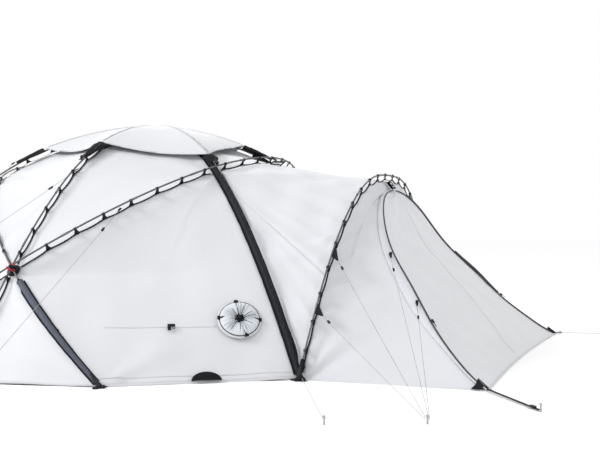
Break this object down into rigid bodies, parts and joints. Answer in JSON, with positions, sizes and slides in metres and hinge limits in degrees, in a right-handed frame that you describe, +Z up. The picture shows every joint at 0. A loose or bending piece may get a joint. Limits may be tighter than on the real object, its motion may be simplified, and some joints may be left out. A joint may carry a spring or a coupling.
{
  "type": "dome tent",
  "caption": "Expedition dome tent on crossing external poles, with clips, sleeves, a roof cap, and an arched vestibule with a zipped front door.",
  "frame": {"origin": "centre of the dome's ground circle, on the ground plane", "axes": "+X towards the vestibule, +Z up; the XZ plane is the plane of symmetry of the poles and panels"},
  "size_m": [5.7289, 5.9387, 1.8746],
  "materials": {
    "canopy_white": "coated ripstop, softly translucent",
    "cap_white": "coated ripstop",
    "door_grey": "coated ripstop",
    "floor_grey": "heavy coated cloth",
    "pole_alloy": "satin anodised",
    "ferrule_alloy": "satin anodised",
    "foot_black": "moulded",
    "sleeve_black": "woven sleeve",
    "webbing_black": "flat webbing",
    "clip_black": "moulded",
    "vent_grey": "gathered light cloth",
    "port_black": "coated cloth",
    "cord_grey": "braided cord",
    "peg_steel": "brushed"
  },
  "bodies": {
    "tent": {"cap_straps": "webbing_black", "clip_webbing": "webbing_black", "clips_cross": "clip_black", "clips_main": "clip_black", "clips_side_arches": "clip_black", "clips_vestibule": "clip_black", "front_panel_far": "canopy_white", "front_panel_near": "canopy_white", "front_strap": "webbing_black", "front_wall": "canopy_white", "groundsheet": "floor_grey", "guy_corner": "cord_grey", "guy_cross_pole": "cord_grey", "guy_door_lower": "cord_grey", "guy_door_upper": "cord_grey", "guy_front_far": "cord_grey", "guy_hoop_lower": "cord_grey", "guy_hoop_upper": "cord_grey", "guy_side_arch": "cord_grey", "guy_tabs": "webbing_black", "hub_plates": "webbing_black", "pegs": "peg_steel", "pole_cross": "pole_alloy", "pole_feet": "foot_black", "pole_ferrules": "ferrule_alloy", "pole_main_far": "pole_alloy", "pole_main_near": "pole_alloy", "pole_side_front": "pole_alloy", "pole_side_rear": "pole_alloy", "pole_vestibule": "pole_alloy", "rear_wall": "canopy_white", "roof_cap": "cap_white", "roof_ends": "canopy_white", "roof_far": "canopy_white", "roof_near": "canopy_white", "sleeve_main_far": "sleeve_black", "sleeve_main_near": "sleeve_black", "sleeve_side_arches": "sleeve_black", "vent_tunnel": "vent_grey", "vestibule_roof": "canopy_white", "vestibule_side_far": "canopy_white", "vestibule_side_near": "canopy_white", "wall_far_front": "canopy_white", "wall_far_middle": "canopy_white", "wall_far_rear": "canopy_white", "wall_near_front": "canopy_white", "wall_near_middle": "canopy_white", "wall_near_rear": "canopy_white"},
    "front_door": {"front_door": "door_grey"},
    "inner_door": {"inner_door": "canopy_white"},
    "zip_slider_near": {"zip_slider_near": "clip_black"},
    "zip_slider_far": {"zip_slider_far": "clip_black"},
    "vent_toggle": {"vent_toggle": "clip_black"},
    "port_flap": {"port_flap": "port_black"},
    "adjuster_hoop_upper": {"adjuster_hoop_upper": "clip_black"},
    "adjuster_hoop_lower": {"adjuster_hoop_lower": "clip_black"},
    "adjuster_door_upper": {"adjuster_door_upper": "clip_black"},
    "adjuster_door_lower": {"adjuster_door_lower": "clip_black"},
    "adjuster_side_arch": {"adjuster_side_arch": "clip_black"},
    "adjuster_cross_pole": {"adjuster_cross_pole": "clip_black"}
  },
  "joints": [
    {"name": "front_door_swing", "type": "hinge", "parent": "tent", "child": "front_door", "pos_m": [3.225, 0, 0.001], "axis": [0, 1, 0], "range_deg": [0, 100]},
    {"name": "inner_door_swing", "type": "hinge", "parent": "tent", "child": "inner_door", "pos_m": [1.9147, 0, 0.108], "axis": [0, 1, 0], "range_deg": [0, 100]},
    {"name": "vent_toggle_slide", "type": "slide", "parent": "tent", "child": "vent_toggle", "axis": [0.3862, -0.669, 0.635], "range_m": [0, 0.06]},
    {"name": "port_flap_swing", "type": "hinge", "parent": "tent", "child": "port_flap", "pos_m": [1.47293, -2.04791, 0.01693], "axis": [0.8193, 0.5734, 0], "range_deg": [0, 120]},
    {"name": "zip_slider_near_slide", "type": "slide", "parent": "front_door", "child": "zip_slider_near", "axis": [-0.5241, 0.5749, 0.6284], "range_m": [0, 0.7]},
    {"name": "zip_slider_far_slide", "type": "slide", "parent": "front_door", "child": "zip_slider_far", "axis": [-0.5241, -0.5749, 0.6284], "range_m": [0, 0.7]},
    {"name": "adjuster_hoop_upper_slide", "type": "slide", "parent": "tent", "child": "adjuster_hoop_upper", "axis": [0.506, -0.7763, -0.376], "range_m": [0, 0.3]},
    {"name": "adjuster_hoop_lower_slide", "type": "slide", "parent": "tent", "child": "adjuster_hoop_lower", "axis": [0.6078, -0.759, -0.2336], "range_m": [0, 0.3]},
    {"name": "adjuster_door_upper_slide", "type": "slide", "parent": "tent", "child": "adjuster_door_upper", "axis": [0.3411, -0.8706, -0.3544], "range_m": [0, 0.3]},
    {"name": "adjuster_door_lower_slide", "type": "slide", "parent": "tent", "child": "adjuster_door_lower", "axis": [0.2759, -0.9237, -0.2659], "range_m": [0, 0.3]},
    {"name": "adjuster_side_arch_slide", "type": "slide", "parent": "tent", "child": "adjuster_side_arch", "axis": [-0.033, -0.8408, -0.5403], "range_m": [0, 0.3]},
    {"name": "adjuster_cross_pole_slide", "type": "slide", "parent": "tent", "child": "adjuster_cross_pole", "axis": [-0.4079, -0.7397, -0.5353], "range_m": [0, 0.3]}
  ]
}
